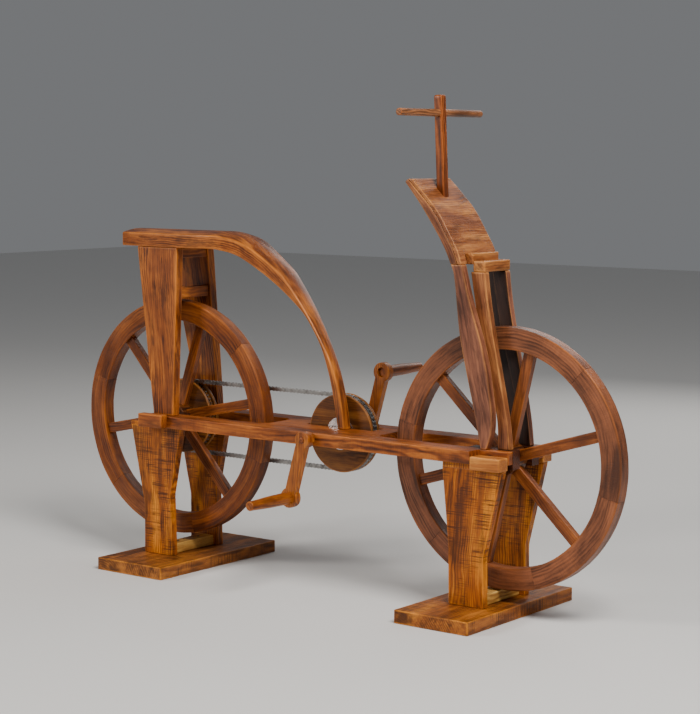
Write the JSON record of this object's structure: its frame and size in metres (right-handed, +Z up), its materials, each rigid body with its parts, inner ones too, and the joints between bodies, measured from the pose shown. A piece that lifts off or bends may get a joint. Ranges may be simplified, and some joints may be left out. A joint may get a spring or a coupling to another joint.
{
  "type": "wooden bicycle on display stands",
  "caption": "Old-style wooden bicycle with chain drive, arched plank saddle, curved front board and T-handle, held upright by two wooden display stands.",
  "frame": {"origin": "on the floor, half way between the two wheel axles, in the bicycle's middle plane", "axes": "+X to the front of the bicycle, +Y to the rider's left, +Z up"},
  "size_m": [1.8639, 0.66, 1.3746],
  "materials": {
    "stand_wood": "rough sawn oak, oiled",
    "pine": "sawn pine",
    "nail_steel": "dull",
    "frame_oak": "planed oak, satin varnish",
    "pale_oak": "planed pale oak, satin varnish",
    "dark_oak": "dark oak, satin varnish",
    "seat_oak": "smoothed oak, satin varnish",
    "front_oak": "smoothed dark oak, satin varnish",
    "handle_oak": "shaved oak, satin varnish",
    "axle_steel": "turned",
    "bronze": "turned",
    "wheel_oak": "sawn oak, satin varnish",
    "hub_oak": "turned oak, satin varnish",
    "disc_oak": "turned oak, satin varnish",
    "sprocket_steel": "milled",
    "flange_steel": "polished",
    "crank_oak": "shaved oak, satin varnish",
    "chain_steel": "oiled"
  },
  "bodies": {
    "frame": {"base_rear": "stand_wood", "base_front": "stand_wood", "leg_rear_right": "stand_wood", "leg_rear_left": "stand_wood", "leg_front_right": "stand_wood", "leg_front_left": "stand_wood", "batten_rear": "pine", "batten_front": "pine", "stand_nails": "nail_steel", "rail_right": "frame_oak", "rail_left": "frame_oak", "centre_board": "frame_oak", "slot_blocks": "frame_oak", "end_block_rear_right": "frame_oak", "end_block_rear_left": "frame_oak", "end_block_front_right": "pale_oak", "end_block_front_left": "pale_oak", "axle_cheeks": "dark_oak", "seat_post_right": "seat_oak", "seat_post_left": "seat_oak", "seat_brace": "seat_oak", "seat_cleat": "seat_oak", "saddle_arch": "seat_oak", "front_board": "front_oak", "board_leg_right": "front_oak", "board_leg_left": "front_oak", "yoke_rear": "front_oak", "yoke_front": "front_oak", "fork_blade_right": "front_oak", "fork_blade_left": "front_oak", "handle_post": "handle_oak", "hand_bar": "handle_oak", "front_axle": "axle_steel", "rear_axle": "axle_steel", "axle_washers": "axle_steel", "crank_bushes": "bronze", "chain_links": "chain_steel", "chain_rollers": "chain_steel"},
    "rear_wheel": {"rear_felloes": "wheel_oak", "rear_spokes": "wheel_oak", "rear_hub": "hub_oak", "rear_bush": "bronze", "sprocket_disc_right": "disc_oak", "sprocket_disc_left": "disc_oak", "rear_sprocket": "sprocket_steel"},
    "front_wheel": {"front_felloes": "wheel_oak", "front_spokes": "wheel_oak", "front_hub": "hub_oak", "front_bush": "bronze"},
    "crank": {"chainwheel_disc_right": "disc_oak", "chainwheel_disc_left": "disc_oak", "chainwheel": "sprocket_steel", "crank_flanges": "flange_steel", "chainwheel_bolts": "flange_steel", "crank_axle": "axle_steel", "crank_collars": "crank_oak", "crank_arm_right": "crank_oak", "crank_arm_left": "crank_oak"},
    "pedal_right": {"pedal_right": "crank_oak"},
    "pedal_left": {"pedal_left": "crank_oak"}
  },
  "joints": [
    {"name": "rear_wheel_spin", "type": "hinge", "parent": "frame", "child": "rear_wheel", "pos_m": [-0.582, 0, 0.435], "axis": [0, 1, 0], "continuous": true},
    {"name": "front_wheel_spin", "type": "hinge", "parent": "frame", "child": "front_wheel", "pos_m": [0.582, 0, 0.421], "axis": [0, 1, 0], "continuous": true},
    {"name": "crank_spin", "type": "hinge", "parent": "frame", "child": "crank", "pos_m": [0.0149, 0, 0.435], "axis": [0, 1, 0], "continuous": true, "deforming": ["chain_links", "chain_rollers"]},
    {"name": "pedal_right_spin", "type": "hinge", "parent": "crank", "child": "pedal_right", "pos_m": [-0.03137, -0.153, 0.27038], "axis": [0, 1, 0], "continuous": true},
    {"name": "pedal_left_spin", "type": "hinge", "parent": "crank", "child": "pedal_left", "pos_m": [0.06117, 0.153, 0.59962], "axis": [0, 1, 0], "continuous": true}
  ],
  "couplings": [
    {"joint": "crank_spin", "follows": "rear_wheel_spin", "ratio": 1}
  ]
}
